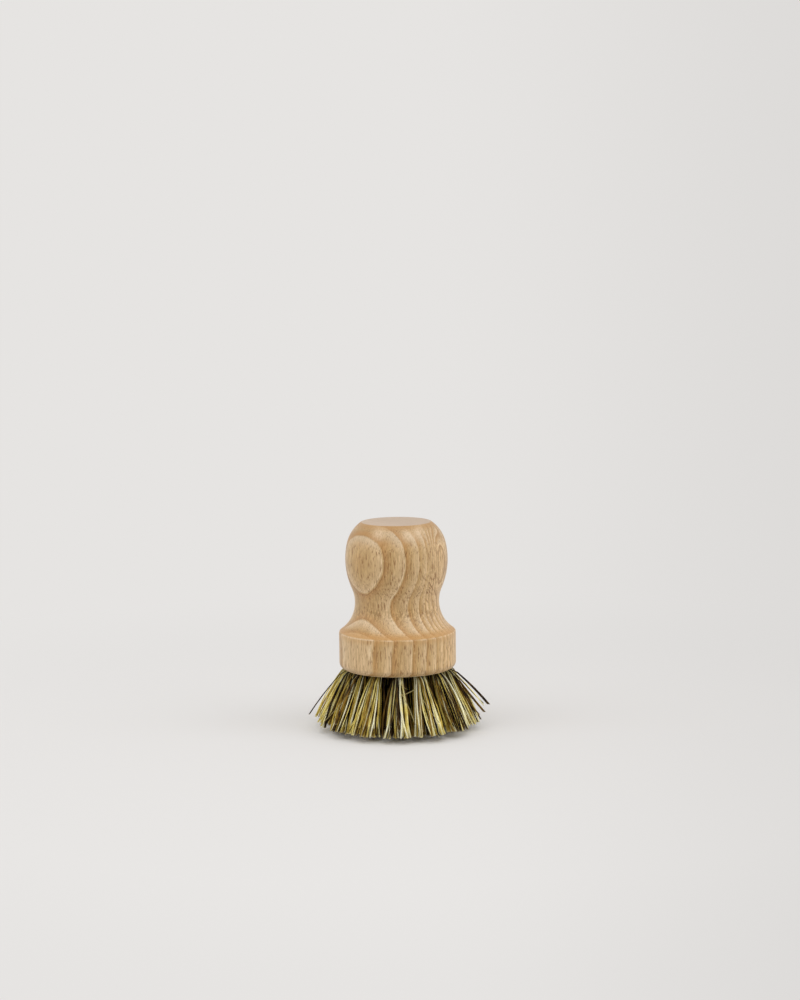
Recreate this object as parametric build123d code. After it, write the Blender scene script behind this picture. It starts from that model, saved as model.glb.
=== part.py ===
from build123d import *
import itertools
import math
import os
import random

# Palm brush: a turned beech handle, filled with tufts of palm fibre, each held by a wire staple.
# Millimetres, +Z up. The origin is on the surface that the bristles stand on, below the handle's axis.

# Handle, heights above its underside
base_radius = 25.0
base_edge_radius = 2.6
rim_edge_width = 0.5
neck_radius = 18.0
neck_height = 28.6
neck_hollow_radius = 15.0
knob_radius = 21.85
knob_belly_height = 47.0
crown_start_height = 54.0
handle_height = 63.0
top_flat_radius = 14.8

# Straight cuts that each round stretch of the handle is turned in
bottom_cuts = 3
neck_cuts = 8
belly_cuts = 6
crown_cuts = 4

# Bristles, trimmed to a shallow dome that is cut flat where the brush stands on it
standing_height = 26.5
trim_dome_radius = 155.0
standing_cut = 0.5
trim_scatter = 0.3
strand_sides = 3
strands_per_tuft = 15
ring_spread_share = 1.5
flare_out_share = 2.9
flare_along_share = 3.3
scatter_seed = 7

# A tuft's strands, as shares of the radius of the hole that they fill
pattern_share = 0.69
strand_root_share = 0.146
strand_tip_share = 0.23
tip_scatter_share = 0.15

# Holes in the underside, and the folded roots that fill them
hole_depth = 11.0
root_clearance = 0.1
root_recess = 0.4
strand_embed = 1.3
root_sides = 8
fold_outline_shares = ((1.0, 1.0), (0.75, 0.3), (0.35, 0.0))

# Staples of flat wire, driven over the folds and into the wood below them
staple_thickness = 0.45
staple_width = 1.0
staple_side_gap = 0.2
fold_thickness = 2.0
staple_bite = 2.6

# Rings of tufts, the first tuft of each at the front; the holes lean outwards, in degrees
hole_margin = 5.0
outer_ring_radius = base_radius - hole_margin
middle_ring_share = 0.62
inner_ring_share = 0.24
hole_share = 0.13
middle_ring_radius = outer_ring_radius * middle_ring_share
inner_ring_radius = outer_ring_radius * inner_ring_share
hole_radius = outer_ring_radius * hole_share
front = -90.0
inner_count = 3
middle_count = 8
outer_count = 14
inner_lean = 3.0
middle_lean = 9.0
outer_lean = 17.0
rings = (
    ("inner", inner_count, inner_ring_radius, inner_lean),
    ("middle", middle_count, middle_ring_radius, middle_lean),
    ("outer", outer_count, outer_ring_radius, outer_lean),
)

# Stray strands of the outer ring, by tuft number: reach from the axis and height of the tip
right_stray_reach = 39.5
right_stray_height = 11.6
left_stray_reach = 39.1
left_stray_height = 8.2
strays = {
    ("outer", 4): (right_stray_reach, right_stray_height),
    ("outer", 12): (left_stray_reach, left_stray_height),
}

overrun = 1.0
golden_angle = math.pi * (3.0 - math.sqrt(5.0))
root_radius = hole_radius - root_clearance
pattern_radius = hole_radius * pattern_share
strand_root_radius = hole_radius * strand_root_share
strand_tip_radius = hole_radius * strand_tip_share
tip_scatter = hole_radius * tip_scatter_share
chance = random.Random(scatter_seed)


# Handle

def arc_cuts(centre, start, end, cuts):
    """Points that divide an arc of under half a turn about a centre into equal straight cuts."""
    radius = math.dist(centre, start)
    across = (start[0] + end[0] - 2 * centre[0], start[1] + end[1] - 2 * centre[1])
    length = math.hypot(*across)
    middle = (centre[0] + across[0] * radius / length, centre[1] + across[1] * radius / length)
    arc = ThreePointArc(start, middle, end)
    return [arc @ (cut / cuts) for cut in range(cuts + 1)]


def handle_face():
    """Half section of the handle: base, rim, hollow neck, bellied knob, crown and flat top."""
    rise = knob_belly_height - neck_height
    step = knob_radius - neck_radius
    radii_sum = (step**2 + rise**2) / (2 * step)
    belly_arc_radius = radii_sum - neck_hollow_radius
    hollow_centre = (neck_radius + neck_hollow_radius, neck_height)
    belly_centre = (knob_radius - belly_arc_radius, knob_belly_height)
    rim_drop = math.sqrt(neck_hollow_radius**2 - (hollow_centre[0] - base_radius) ** 2)
    rim = (base_radius, neck_height - rim_drop)
    hollow_share = neck_hollow_radius / radii_sum
    swell = (
        hollow_centre[0] + hollow_share * (belly_centre[0] - hollow_centre[0]),
        hollow_centre[1] + hollow_share * (belly_centre[1] - hollow_centre[1]),
    )
    crown_rise = crown_start_height - knob_belly_height
    crown_run = math.sqrt(belly_arc_radius**2 - crown_rise**2)
    crown_start = (belly_centre[0] + crown_run, crown_start_height)
    crown = TangentArc(crown_start, (top_flat_radius, handle_height), tangent=(-crown_rise, crown_run))

    edge_start = (base_radius - base_edge_radius, 0)
    edge_centre = (base_radius - base_edge_radius, base_edge_radius)
    edge_end = (base_radius, base_edge_radius)
    points = [
        (0, 0),
        *arc_cuts(edge_centre, edge_start, edge_end, bottom_cuts),
        *arc_cuts(hollow_centre, rim, swell, neck_cuts),
        *arc_cuts(belly_centre, swell, crown_start, belly_cuts)[1:],
        *[crown @ (cut / crown_cuts) for cut in range(1, crown_cuts + 1)],
        (0, handle_height),
    ]
    face = make_face(Polyline(*points, close=True))
    return chamfer(face.vertices().sort_by_distance(rim)[0], rim_edge_width)


def handle_blank():
    """The turned handle before it is drilled, standing on the bristles' height."""
    section = Plane.XZ * handle_face()
    return Pos(0, 0, standing_height) * revolve(section, Axis.Z)


# Tufts

def hole_planes(count, ring_radius, lean):
    """Frame of each hole in a ring: origin at its mouth, X along the ring, Z up the hole."""
    planes = []
    for number in range(count):
        turn = math.radians(front + 360 * number / count)
        outward = Vector(math.cos(turn), math.sin(turn), 0)
        along = Vector(-math.sin(turn), math.cos(turn), 0)
        tilt = math.radians(lean)
        up = Vector(0, 0, math.cos(tilt)) - outward * math.sin(tilt)
        mouth = outward * ring_radius + Vector(0, 0, standing_height)
        planes.append(Plane(origin=mouth, x_dir=along, z_dir=up))
    return planes


def hole():
    """Flat-ended drilled hole, with overrun past the underside."""
    height = hole_depth + overrun
    return Pos(0, 0, -overrun) * Cylinder(hole_radius, height, align=(Align.CENTER, Align.CENTER, Align.MIN))


def staple():
    """Wire staple: a crown over the fold and two chisel-pointed legs into the wood."""
    half_span = hole_radius - staple_side_gap
    leg_inside = half_span - staple_thickness
    crown_far = hole_depth - fold_thickness
    crown_near = crown_far - staple_thickness
    leg_end = hole_depth + staple_bite
    leg_heel = leg_end - staple_thickness
    outline = Polyline(
        (-half_span, crown_near),
        (half_span, crown_near),
        (half_span, leg_end),
        (leg_inside, leg_heel),
        (leg_inside, crown_far),
        (-leg_inside, crown_far),
        (-leg_inside, leg_heel),
        (-half_span, leg_end),
        close=True,
    )
    return extrude(Plane.XZ * make_face(outline), staple_width / 2, both=True)


def folded_root():
    """Packed root of a tuft, folded round the staple's crown and resting on the hole's end."""
    section = RegularPolygon(root_radius, root_sides, rotation=180 / root_sides)
    packed = extrude(Pos(0, 0, root_recess) * section, hole_depth - root_recess)
    fold = [(root_radius * across, hole_depth - root_radius * short) for across, short in fold_outline_shares]
    far_side = [(-across, height) for across, height in reversed(fold)]
    sides = [(root_radius, 0), *fold, *far_side, (-root_radius, 0)]
    loaf = extrude(Plane.YZ * make_face(Polyline(*sides, close=True)), root_radius, both=True)
    return (packed & loaf) - staple()


def strand_lines(ring, number, plane):
    """Centre lines of a tuft's strands, each from its root to its tip, flaring and never crossing."""
    middle = Vector(plane.origin.X, plane.origin.Y, 0)
    outward = middle.normalized()
    along = Vector(-outward.Y, outward.X, 0)
    lines = []
    for index in range(strands_per_tuft):
        reach = pattern_radius * math.sqrt((index + 0.5) / strands_per_tuft)
        turn = index * golden_angle
        out = outward * (reach * math.cos(turn))
        aside = along * (reach * math.sin(turn))
        mouth = middle + out + aside
        scatter = Vector(chance.uniform(-1, 1), chance.uniform(-1, 1), 0) * tip_scatter
        tip = middle * ring_spread_share + out * flare_out_share + aside * flare_along_share + scatter
        dome = trim_dome_radius - math.sqrt(trim_dome_radius**2 - tip.length**2)
        height = max(0, dome - standing_cut + chance.uniform(-1, 1) * trim_scatter)
        lines.append((mouth, tip, height))
    if (ring, number) in strays:
        reach, height = strays[(ring, number)]
        outermost = max(range(strands_per_tuft), key=lambda index: lines[index][0].length)
        mouth = lines[outermost][0]
        lines[outermost] = (mouth, mouth.normalized() * reach, height)
    return lines


def triangle(centre, radius):
    """Level corners of a strand's three-sided section."""
    corner = Vector(radius, 0, 0)
    return [centre + corner.rotate(Axis.Z, 360 * side / strand_sides) for side in range(strand_sides)]


def strand(mouth, tip, height):
    """Three-sided strand that widens from inside the root to a level cut at its tip."""
    run = (tip - mouth) / (standing_height - height)
    root = mouth - run * strand_embed + Vector(0, 0, standing_height + strand_embed)
    end = tip + Vector(0, 0, height)
    upper = triangle(root, strand_root_radius)
    lower = triangle(end, strand_tip_radius)
    faces = [Face(Wire.make_polygon(upper)), Face(Wire.make_polygon(lower))]
    for side in range(strand_sides):
        following = (side + 1) % strand_sides
        corners = [upper[side], upper[following], lower[following], lower[side]]
        faces.append(Face(Wire.make_polygon(corners)))
    return Solid(Shell(faces))


def least_clearance(lines):
    """Least space between any two strands, level by level, from the holes' mouths to the tips."""
    levels = 8
    least = math.inf
    for level in range(levels + 1):
        share = level / levels
        radius = strand_root_radius + share * (strand_tip_radius - strand_root_radius)
        side = 2 * radius * math.sin(math.pi / strand_sides)
        drop = standing_height * share
        places = []
        for mouth, tip, height in lines:
            if drop <= standing_height - height:
                place = mouth + (tip - mouth) * (drop / (standing_height - height))
                places.append((place.X, place.Y))
        nearest = min(math.dist(one, other) for one, other in itertools.combinations(places, 2))
        least = min(least, nearest - side)
    return least


# Assembly

os.makedirs("parts", exist_ok=True)
handle = handle_blank()
hole_tools = []
staple_tools = []
all_lines = []
for ring, count, ring_radius, lean in rings:
    ring_staples = []
    for number, plane in enumerate(hole_planes(count, ring_radius, lean), start=1):
        lines = strand_lines(ring, number, plane)
        all_lines.extend(lines)
        root = plane.location * folded_root()
        strands = [strand(*line) for line in lines]
        tuft = root.fuse(*strands)
        export_step(tuft, f"parts/tuft_{ring}_{number:02d}.step")
        hole_tools.append(plane.location * hole())
        ring_staples.append(plane.location * staple())
    staple_tools.extend(ring_staples)
    export_step(Compound(ring_staples), f"parts/staples_{ring}.step")
handle = handle - hole_tools - staple_tools
export_step(handle, "parts/handle.step")
print("strands", len(all_lines), "least clearance", round(least_clearance(all_lines), 2))
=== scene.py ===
import math

import bpy
import numpy as np
from bpy.props import FloatProperty, FloatVectorProperty, IntProperty, PointerProperty
from mathutils import Matrix, Vector


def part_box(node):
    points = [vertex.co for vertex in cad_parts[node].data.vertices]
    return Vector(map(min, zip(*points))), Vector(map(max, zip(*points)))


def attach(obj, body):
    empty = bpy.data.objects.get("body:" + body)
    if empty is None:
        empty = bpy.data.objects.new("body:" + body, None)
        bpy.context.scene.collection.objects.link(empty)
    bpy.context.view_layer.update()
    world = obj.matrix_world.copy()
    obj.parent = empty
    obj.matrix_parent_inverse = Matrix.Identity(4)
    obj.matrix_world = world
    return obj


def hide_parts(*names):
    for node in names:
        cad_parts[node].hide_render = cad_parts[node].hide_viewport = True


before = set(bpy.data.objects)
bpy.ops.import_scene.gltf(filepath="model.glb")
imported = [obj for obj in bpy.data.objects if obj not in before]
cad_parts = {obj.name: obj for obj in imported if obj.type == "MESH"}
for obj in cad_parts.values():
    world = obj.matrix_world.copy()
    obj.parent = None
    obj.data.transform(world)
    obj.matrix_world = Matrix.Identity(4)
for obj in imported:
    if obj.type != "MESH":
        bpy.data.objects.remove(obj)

bl_info = {
    "name": "Palm brush",
    "version": (1, 0, 0),
    "blender": (4, 5, 0),
    "location": "3D View > Sidebar > Palm brush",
    "description": "Turned beech handle, splayed tufts of palm fibre and their staples, on a pale stage",
    "category": "Add Mesh",
}

MM = 0.001
PER_MM = (1 / MM, 1 / MM, 1 / MM)
LOW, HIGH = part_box("handle")
UNDERSIDE = LOW[2]
GOLDEN_ANGLE = math.pi * (3 - math.sqrt(5))
TURNED_SIDES = 256
SHARP_ANGLE = math.radians(30)

# Tufts by ring: name, count, radius of the ring of holes and lean of the holes in degrees
RINGS = (
    ("inner", 3, 4.8 * MM, 3.0),
    ("middle", 8, 12.4 * MM, 9.0),
    ("outer", 14, 20.0 * MM, 17.0),
)
FRONT = -90.0

# Stray fibres by tuft: reach of the tip from the axis, its height and the fibre's radius in mm, and its tone
STRAYS = {
    "tuft_outer_04": (
        (39.5, 11.6, 0.52, 0.10),
        (37.6, 11.2, 0.24, 0.80),
        (37.0, 11.6, 0.26, 0.12),
        (37.3, 7.6, 0.50, 0.26),
        (35.4, 6.9, 0.34, 0.24),
        (35.2, 4.0, 0.26, 0.14),
    ),
    "tuft_outer_12": (
        (39.1, 8.2, 0.26, 0.06),
        (35.9, 7.2, 0.40, 0.50),
        (35.4, 4.6, 0.42, 0.66),
    ),
    "tuft_outer_11": ((35.8, 5.0, 0.34, 0.60),),
}

# Shares of a fibre's way down at which it has a ring of points, and its radius along the way
FIBRE_STATIONS = np.array((0.0, 0.1, 0.22, 0.37, 0.56, 0.78, 1.0))
TAPER_SHARES = (0.0, 0.2, 0.6, 1.0)
TAPER_RADII = (0.65, 0.8, 1.0, 0.96)
FIBRE_SIDES = 5

# Beta distributions of fibre thickness and tone, painted shade on the tones of inner fibres, and the tone of
# the roots
THICKNESS_LOT = (1.5, 1.9)
TONE_LOT = (0.72, 0.78)
INNER_PAINTED_SHADE = 0.75
ROOT_TONE = 0.2

# Scatter of a tuft: normal spread of roots and tips, and the share and shortening of its short fibres
ROOT_FILL = 0.9
ROOT_SCATTER = 0.12 * MM
TIP_SCATTER = 1.0 * MM
SHORT_SHARE = 0.12
SHORTENING = (0.5 * MM, 4.0 * MM)
TRIM_SPREAD = 0.4
FIBRE_EMBED = 3 * MM

# Packed root: shares of its length, from near the mouth to the hole's end, and its room at both ends
ROOT_STEPS = np.array((0.0, 0.5, 0.8, 0.93, 0.985, 1.0))
ROOT_RECESS = 0.4 * MM
ROOT_END_ROOM = 0.05 * MM
ROOT_SQUARENESS = 8
ROOT_TIP_SHARE = 0.02

# Hairs caught among the fibres: turn from the front in degrees, reach and height in mm of both ends, then
# bow and radius in mm, and tone
HAIRS = (
    ((-44.0, 27.2, 20.4), (-62.5, 35.4, 6.6), 0.6, 0.15, 0.95),
    ((3.0, 27.4, 19.6), (14.5, 29.6, 22.8), 0.5, 0.17, 1.0),
    ((4.2, 25.4, 24.4), (8.4, 27.8, 22.4), 1.2, 0.15, 0.95),
    ((3.0, 27.2, 20.4), (11.0, 34.2, 9.8), -0.5, 0.17, 0.9),
    ((-33.0, 30.4, 14.8), (-30.0, 32.4, 11.4), 0.9, 0.13, 0.9),
    ((21.0, 27.6, 18.4), (30.0, 34.0, 8.6), 0.8, 0.14, 0.85),
    ((150.0, 27.6, 19.4), (163.0, 34.6, 7.6), 0.7, 0.14, 0.9),
)

# Growth rings are circles about the pith, which lies behind the handle and to the right, at a turn in degrees
PITH_TURN = -48.0
PITH_DISTANCE_MM = 44.0
PITH_TILT = 0.034
TILT_LEVEL_MM = 73.5

# Ring borders: distances from the axis, away from the pith, with even narrow rings on the pith's side
WIDE_RINGS_MM = (22.7, 19.4, 14.6, 10.0, 5.9, 2.4)
NARROW_RING_MM = 2.75
NARROW_RINGS = 9
RING_REACH_MM = 27.0
HALF_BORDER = 0.003
FIRST_SEASON = 0.9
LAST_SEASON = 0.4
MEAN_SEASON = 0.7
LINE_DEPTH = 0.78

# Swells that bend the rings: middle, spread and height in mm
GRAIN_SWELLS = (
    ((18.2, -12.5, 72.9), (3.8, 3.8, 12.9), -10.5),
    ((-15.6, -14.0, 47.0), (9.0, 9.0, 4.6), 1.3),
    ((-15.0, -13.5, 59.5), (6.0, 6.0, 5.0), 0.65),
    ((-15.6, -19.0, 28.0), (7.0, 9.0, 7.0), 0.8),
)

# Painted highlights on the crown: middle and spread in mm
PAINTED_CROWN_HIGHLIGHTS = (
    ((-7.2, -16.4, 86.4), (2.0, 4.0, 1.8)),
    ((5.0, -17.9, 85.6), (1.8, 4.0, 1.6)),
    ((9.4, -15.0, 86.8), (1.7, 4.0, 2.3)),
)

# Places where fine dark lines cross the rings at a slant: middle and spread in mm, and the slant in radians
CROSSINGS = (
    ((12.8, -14.0, 63.0), (3.6, 6.0, 7.5), 0.49),
    ((10.5, -19.0, 50.0), (7.0, 5.0, 2.4), -0.73),
)

# Noises of the wood: scale per mm across, along and up the rings, shift, detail and roughness
WOOD_NOISES = {
    "slow": ((0.07, 0.07, 0.04), (0, 0, 0), 1.0, 0.5),
    "fine": ((0.4, 0.4, 0.16), (0, 0, 0), 1.0, 0.5),
    "mottle": ((0.25, 0.25, 0.05), (0, 0, 0), 3.0, 0.5),
    "streak": ((1.7, 1.7, 0.15), (3, 9, 2), 3.0, 0.7),
    "dash": ((2.0, 2.0, 0.26), (5, 2, 8), 2.0, 0.55),
    "crossing": ((1.3, 0.26, 0.2), (4, 1, 6), 1.0, 0.5),
    "fleck": ((0.35, 2.2, 0.8), (7, 3, 1), 1.0, 0.5),
    "ray": ((0.12, 1.3, 1.0), (0, 0, 0), 3.0, 0.6),
}
TORN_SCALE = (1.0, 1.0, 0.8)
TORN_TURN = (0.5, 0.4, 0.2)

# Levels on the handle in mm above the floor, each a height or a range over which a look comes in
HEM_LEVEL_MM = 28.1
BASE_LEVELS_MM = (38.0, 46.0)
UNDER_RIM_MM = (39.2, 41.6)
RIM_MM = (41.9, 42.4)
TORN_LEVEL_MM = 52.2
KNOB_LEVELS_MM = (54.0, 63.0)
CROWDED_LEVELS_MM = (55.0, 59.0)
BELLY_LEVELS_MM = (70.0, 76.0)
CROWN_LEVELS_MM = (80.0, 85.0)


def srgb(red, green, blue):
    """Linear colour of an 8-bit screen colour."""
    shares = [channel / 255 for channel in (red, green, blue)]
    return tuple(share / 12.92 if share <= 0.04045 else ((share + 0.055) / 1.055) ** 2.4 for share in shares)


def length_property(name, description, default_mm):
    """A length in metres, given in mm."""
    return FloatProperty(
        name=name, description=description, default=default_mm * MM, unit="LENGTH", precision=5
    )


def share_property(name, description, default):
    """A plain number from 0 up."""
    return FloatProperty(name=name, description=description, default=default, min=0)


def power_property(name, description, default):
    """A lamp's power in watts."""
    return FloatProperty(name=name, description=description, default=default, min=0, unit="POWER")


def count_property(name, description, default):
    """A whole number from 1 up."""
    return IntProperty(name=name, description=description, default=default, min=1)


def colour_property(name, description, red, green, blue):
    """A colour, given as on a screen."""
    default = srgb(red, green, blue)
    return FloatVectorProperty(
        name=name, description=description, subtype="COLOR", size=3, min=0, max=1, default=default
    )


class HandleSettings(bpy.types.PropertyGroup):
    base_edge_radius: length_property("Base edge", "Rounding of the lower edge of the base", 2.6)
    rim_softness: length_property("Rim softness", "How far the rim of the base is eased", 0.6)
    neck_radius: length_property("Neck radius", "Radius of the handle at its neck", 18.0)
    neck_height: length_property("Neck height", "Height of the neck above the underside", 28.6)
    hollow_radius: length_property("Hollow radius", "Radius of the hollow that forms shoulder and neck", 15.0)
    knob_radius: length_property("Knob radius", "Largest radius of the knob", 21.85)
    belly_height: length_property("Belly height", "Height of the knob's widest place", 47.0)
    crown_height: length_property("Crown height", "Height at which the crown starts to turn in", 54.0)
    top_radius: length_property("Top radius", "Radius of the flat top", 14.8)
    top_softness: length_property("Top softness", "How far the edge of the flat top is eased", 0.5)
    hole_radius: length_property("Hole radius", "Radius of the drilled holes", 2.6)
    hole_depth: length_property("Hole depth", "Depth of the drilled holes", 11.0)
    light_wood: colour_property("Light wood", "Early wood of the beech", 215, 184, 140)
    middle_wood: colour_property("Middle wood", "Beech between the early and the late wood", 194, 158, 104)
    dark_wood: colour_property("Dark wood", "Band of late wood", 182, 136, 78)
    ring_line: colour_property("Ring line", "Fine dark line at the edge of a growth ring", 142, 100, 54)
    pore: colour_property("Pore", "Short dark dash where a vessel or a ray is cut", 128, 82, 26)
    # Also the painted pale line of floor light under the hem of the base.
    ring_lip_and_hem_light: colour_property("Ring lip", "Fine pale line beside the dark one", 232, 206, 164)
    # Painted highlight colour, laid on slopes and on patches of the crown.
    painted_highlight: colour_property("Pale slope", "Wood cut across at a slant, which is paler", 226, 199, 164)
    # Ochre of late wood on slopes and under the rim, and painted shade where crown and shoulder face nearly
    # straight up.
    ochre_and_painted_shade: colour_property("Ochre slope", "Wood cut nearly across, which is richer", 196, 146, 82)
    end_grain: colour_property("End grain", "Sawn top of the knob", 193, 175, 157)


class TuftSettings(bpy.types.PropertyGroup):
    fibres: count_property("Fibres", "Fibres in a tuft", 60)
    thinnest: length_property("Thinnest", "Radius of the thinnest fibre", 0.2)
    thickest: length_property("Thickest", "Radius of the thickest fibre", 0.52)
    root_radius: length_property("Root radius", "Radius of the packed root in its hole", 2.5)
    ring_spread: share_property("Ring spread", "How far a tuft moves out from mouth to tip", 1.5)
    flare_out: share_property("Flare out", "Spread of a tuft away from the axis", 2.8)
    flare_along: share_property("Flare along", "Spread of a tuft along its ring", 3.1)
    dome_radius: length_property("Dome radius", "Radius of the trimmed dome", 155.0)
    standing_cut: length_property("Standing cut", "How deep the dome is cut flat where it stands", 0.5)
    trim_scatter: length_property("Trim scatter", "Unevenness of the trimmed ends", 0.5)
    bow: length_property("Bow", "How far a fibre bows out of straight", 0.7)
    splay: length_property("Splay", "How far the outermost fibres bend outwards below the handle", 1.8)
    locks: count_property("Locks", "Locks that the tips of a tuft gather into", 7)
    lock_pull: share_property("Lock pull", "How strongly the tips gather", 0.35)
    seed: count_property("Seed", "Seed of the scatter", 11)


class StageSettings(bpy.types.PropertyGroup):
    backdrop: colour_property("Backdrop", "Colour of floor and backdrop", 230, 228, 226)
    backdrop_right: colour_property("Backdrop right", "Backdrop away from the lamps", 221, 219, 217)
    ambient: share_property("Ambient", "Light from all round", 0.63)
    side_light: power_property("Side lamps", "Power of each low side lamp", 0.5)
    left_light: power_property("Left lamp", "Power of the left lamp", 1.9)
    right_light: power_property("Right lamp", "Power of the right lamp", 2.6)
    front_light: power_property("Front lamp", "Power of the high front lamp", 4.9)
    top_light: power_property("Top lamp", "Power of the lamp overhead", 0.9)


# Meshes

def place_piece(name, points, faces, smooth=True, attributes=None):
    """A mesh object at the origin from an array of points in metres and lists of faces."""
    mesh = bpy.data.meshes.new(name)
    mesh.from_pydata(points.tolist(), [], faces)
    mesh.polygons.foreach_set("use_smooth", np.full(len(faces), smooth))
    for key, values in (attributes or {}).items():
        layer = mesh.attributes.new(key, "FLOAT", "POINT")
        layer.data.foreach_set("value", values)
    mesh.update()
    mesh.validate()
    piece = bpy.data.objects.new(name, mesh)
    bpy.context.scene.collection.objects.link(piece)
    return piece


def ring_faces(rows, columns):
    """Quads of a grid of rows of points that close on themselves, facing outwards for rows that rise."""
    start = np.arange(rows - 1)[:, None] * columns
    column = np.arange(columns)
    following = (column + 1) % columns
    corners = (start + column, start + following, start + columns + following, start + columns + column)
    return np.stack(corners, axis=-1).reshape(-1, 4)


def arc_points(centre, start, end, count):
    """Points at equal angles on the shorter arc about a centre, from start to end."""
    centre, start, end = (np.array(point, dtype=float) for point in (centre, start, end))
    first = math.atan2(*(start - centre)[::-1])
    last = math.atan2(*(end - centre)[::-1])
    sweep = (last - first + math.pi) % (2 * math.pi) - math.pi
    angles = first + sweep * np.linspace(0, 1, count)
    radii = np.linspace(math.dist(centre, start), math.dist(centre, end), count)
    return centre + radii[:, None] * np.stack((np.cos(angles), np.sin(angles)), axis=1)


def eased_corner(before, corner, after, count=6):
    """Points on the parabola that rounds a corner: (1-t)^2 before + 2t(1-t) corner + t^2 after."""
    t = np.linspace(0, 1, count)[:, None]
    return (1 - t) ** 2 * np.array(before) + 2 * t * (1 - t) * np.array(corner) + t**2 * np.array(after)


def turned_outline(settings):
    """Radius and height along the handle, by tangent arcs, from the axis below to the axis on top."""
    base = (HIGH[0] - LOW[0]) / 2
    height = HIGH[2] - LOW[2]
    rise = settings.belly_height - settings.neck_height
    step = settings.knob_radius - settings.neck_radius
    radii_sum = (step**2 + rise**2) / (2 * step)
    belly_radius = radii_sum - settings.hollow_radius
    hollow_centre = np.array((settings.neck_radius + settings.hollow_radius, settings.neck_height))
    belly_centre = np.array((settings.knob_radius - belly_radius, settings.belly_height))
    rim_height = settings.neck_height - math.sqrt(settings.hollow_radius**2 - (hollow_centre[0] - base) ** 2)
    swell = hollow_centre + (belly_centre - hollow_centre) * settings.hollow_radius / radii_sum
    crown_rise = settings.crown_height - settings.belly_height
    crown_run = math.sqrt(belly_radius**2 - crown_rise**2)
    crown_offset = np.array((crown_run, crown_rise))
    crown_start = belly_centre + crown_offset
    top_edge = np.array((settings.top_radius, height))
    inward = -crown_offset / belly_radius
    chord = top_edge - crown_start
    crown_radius = chord @ chord / (2 * chord @ inward)
    crown_centre = crown_start + inward * crown_radius

    edge = settings.base_edge_radius
    rim = np.array((base, rim_height))
    shoulder = arc_points(hollow_centre, rim, swell, 60)
    belly = arc_points(belly_centre, swell, crown_start, 40)
    crown = arc_points(crown_centre, crown_start, top_edge, 40)
    below_rim = rim - np.array((0, settings.rim_softness))
    before_top = crown[-3]
    after_top = top_edge - np.array((settings.top_softness, 0))
    return np.concatenate((
        np.linspace((0, 0), (base - edge, 0), 24)[:-1],
        arc_points((base - edge, edge), (base - edge, 0), (base, edge), 12)[:-1],
        np.linspace((base, edge), below_rim, 16)[:-1],
        eased_corner(below_rim, rim, shoulder[2])[:-1],
        shoulder[2:-1],
        belly[:-1],
        crown[:-3],
        eased_corner(before_top, top_edge, after_top)[:-1],
        np.linspace(after_top, (0, height), 16),
    ))


def turned_surface(outline, sides):
    """Surface of revolution closed at both poles: outline point (r, z) turns to (r cos a, r sin a, z)."""
    body = outline[1:-1]
    turn = np.arange(sides) * 2 * math.pi / sides
    radius, height = body[:, :1], body[:, 1:]
    grid = np.stack((radius * np.cos(turn), radius * np.sin(turn), height + 0 * turn), axis=-1)
    poles = np.array(((0, 0, outline[0, 1]), (0, 0, outline[-1, 1])))
    points = np.concatenate((grid.reshape(-1, 3), poles))
    low = np.full(sides, len(points) - 2)
    side = np.arange(sides)
    following = (side + 1) % sides
    last = (len(body) - 1) * sides
    fans = np.stack((low, following, side, low + 1, last + side, last + following), axis=-1).reshape(-1, 3)
    return points, ring_faces(len(body), sides).tolist() + fans.tolist()


def hole_frames():
    """Each hole's node name and mouth, and its directions outwards, along its ring and up the hole."""
    for ring, count, radius, lean in RINGS:
        for number in range(count):
            turn = math.radians(FRONT + 360 * number / count)
            outward = np.array((math.cos(turn), math.sin(turn), 0.0))
            along = np.array((-math.sin(turn), math.cos(turn), 0.0))
            tilt = math.radians(lean)
            up = np.array((0, 0, math.cos(tilt))) - outward * math.sin(tilt)
            mouth = outward * radius + np.array((0, 0, UNDERSIDE))
            yield f"tuft_{ring}_{number + 1:02d}", mouth, outward, along, up


def drill_rods(settings, sides=40, overrun=2 * MM):
    """Rods that drill the holes: circles about each hole's axis, from below its mouth to its end."""
    points, faces = [], []
    turn = np.arange(sides) * 2 * math.pi / sides
    for index, (_, mouth, _, along, up) in enumerate(hole_frames()):
        across = np.cross(up, along)
        circle = settings.hole_radius * (np.cos(turn)[:, None] * along - np.sin(turn)[:, None] * across)
        points.append(mouth - up * overrun + circle)
        points.append(mouth + up * settings.hole_depth + circle)
        start = 2 * index * sides
        faces.extend((ring_faces(2, sides)[:, ::-1] + start).tolist())
        faces.append([start + side for side in range(sides)])
        faces.append([start + 2 * sides - 1 - side for side in range(sides)])
    return np.concatenate(points), faces


def fibre_tubes(paths, radii, sides):
    """Round tubes cut level: point k of ring j on fibre i is path + radius (cos, sin)(2 pi k / sides + i).

    Rings are longer along the fibre's level run, by its length over its drop, which keeps the tube round.
    """
    fibres, stations = paths.shape[:2]
    turn = np.arange(sides) * 2 * math.pi / sides + np.arange(fibres)[:, None]
    circle = np.stack((np.cos(turn), np.sin(turn), 0 * turn), axis=-1)
    whole = paths[:, -1] - paths[:, 0]
    run = whole * (1, 1, 0)
    distance = np.linalg.norm(run, axis=1)
    run = run / distance[:, None]
    lengthening = np.hypot(1, distance / np.abs(whole[:, 2])) - 1
    circle = circle + (circle @ run[:, :, None]) * run[:, None] * lengthening[:, None, None]
    points = paths[:, :, None, :] + radii[:, :, None, None] * circle[:, None]
    start = np.arange(fibres)[:, None, None] * stations * sides
    quads = (ring_faces(stations, sides)[:, ::-1] + start).reshape(-1, 4)
    root_caps = np.arange(sides) + start[:, 0]
    tip_caps = np.arange(sides)[::-1] + start[:, 0] + (stations - 1) * sides
    faces = quads.tolist() + root_caps.tolist() + tip_caps.tolist()
    smooth = np.concatenate((np.ones(len(quads), bool), np.zeros(2 * fibres, bool)))
    return points.reshape(-1, 3), faces, smooth


# Materials

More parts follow.
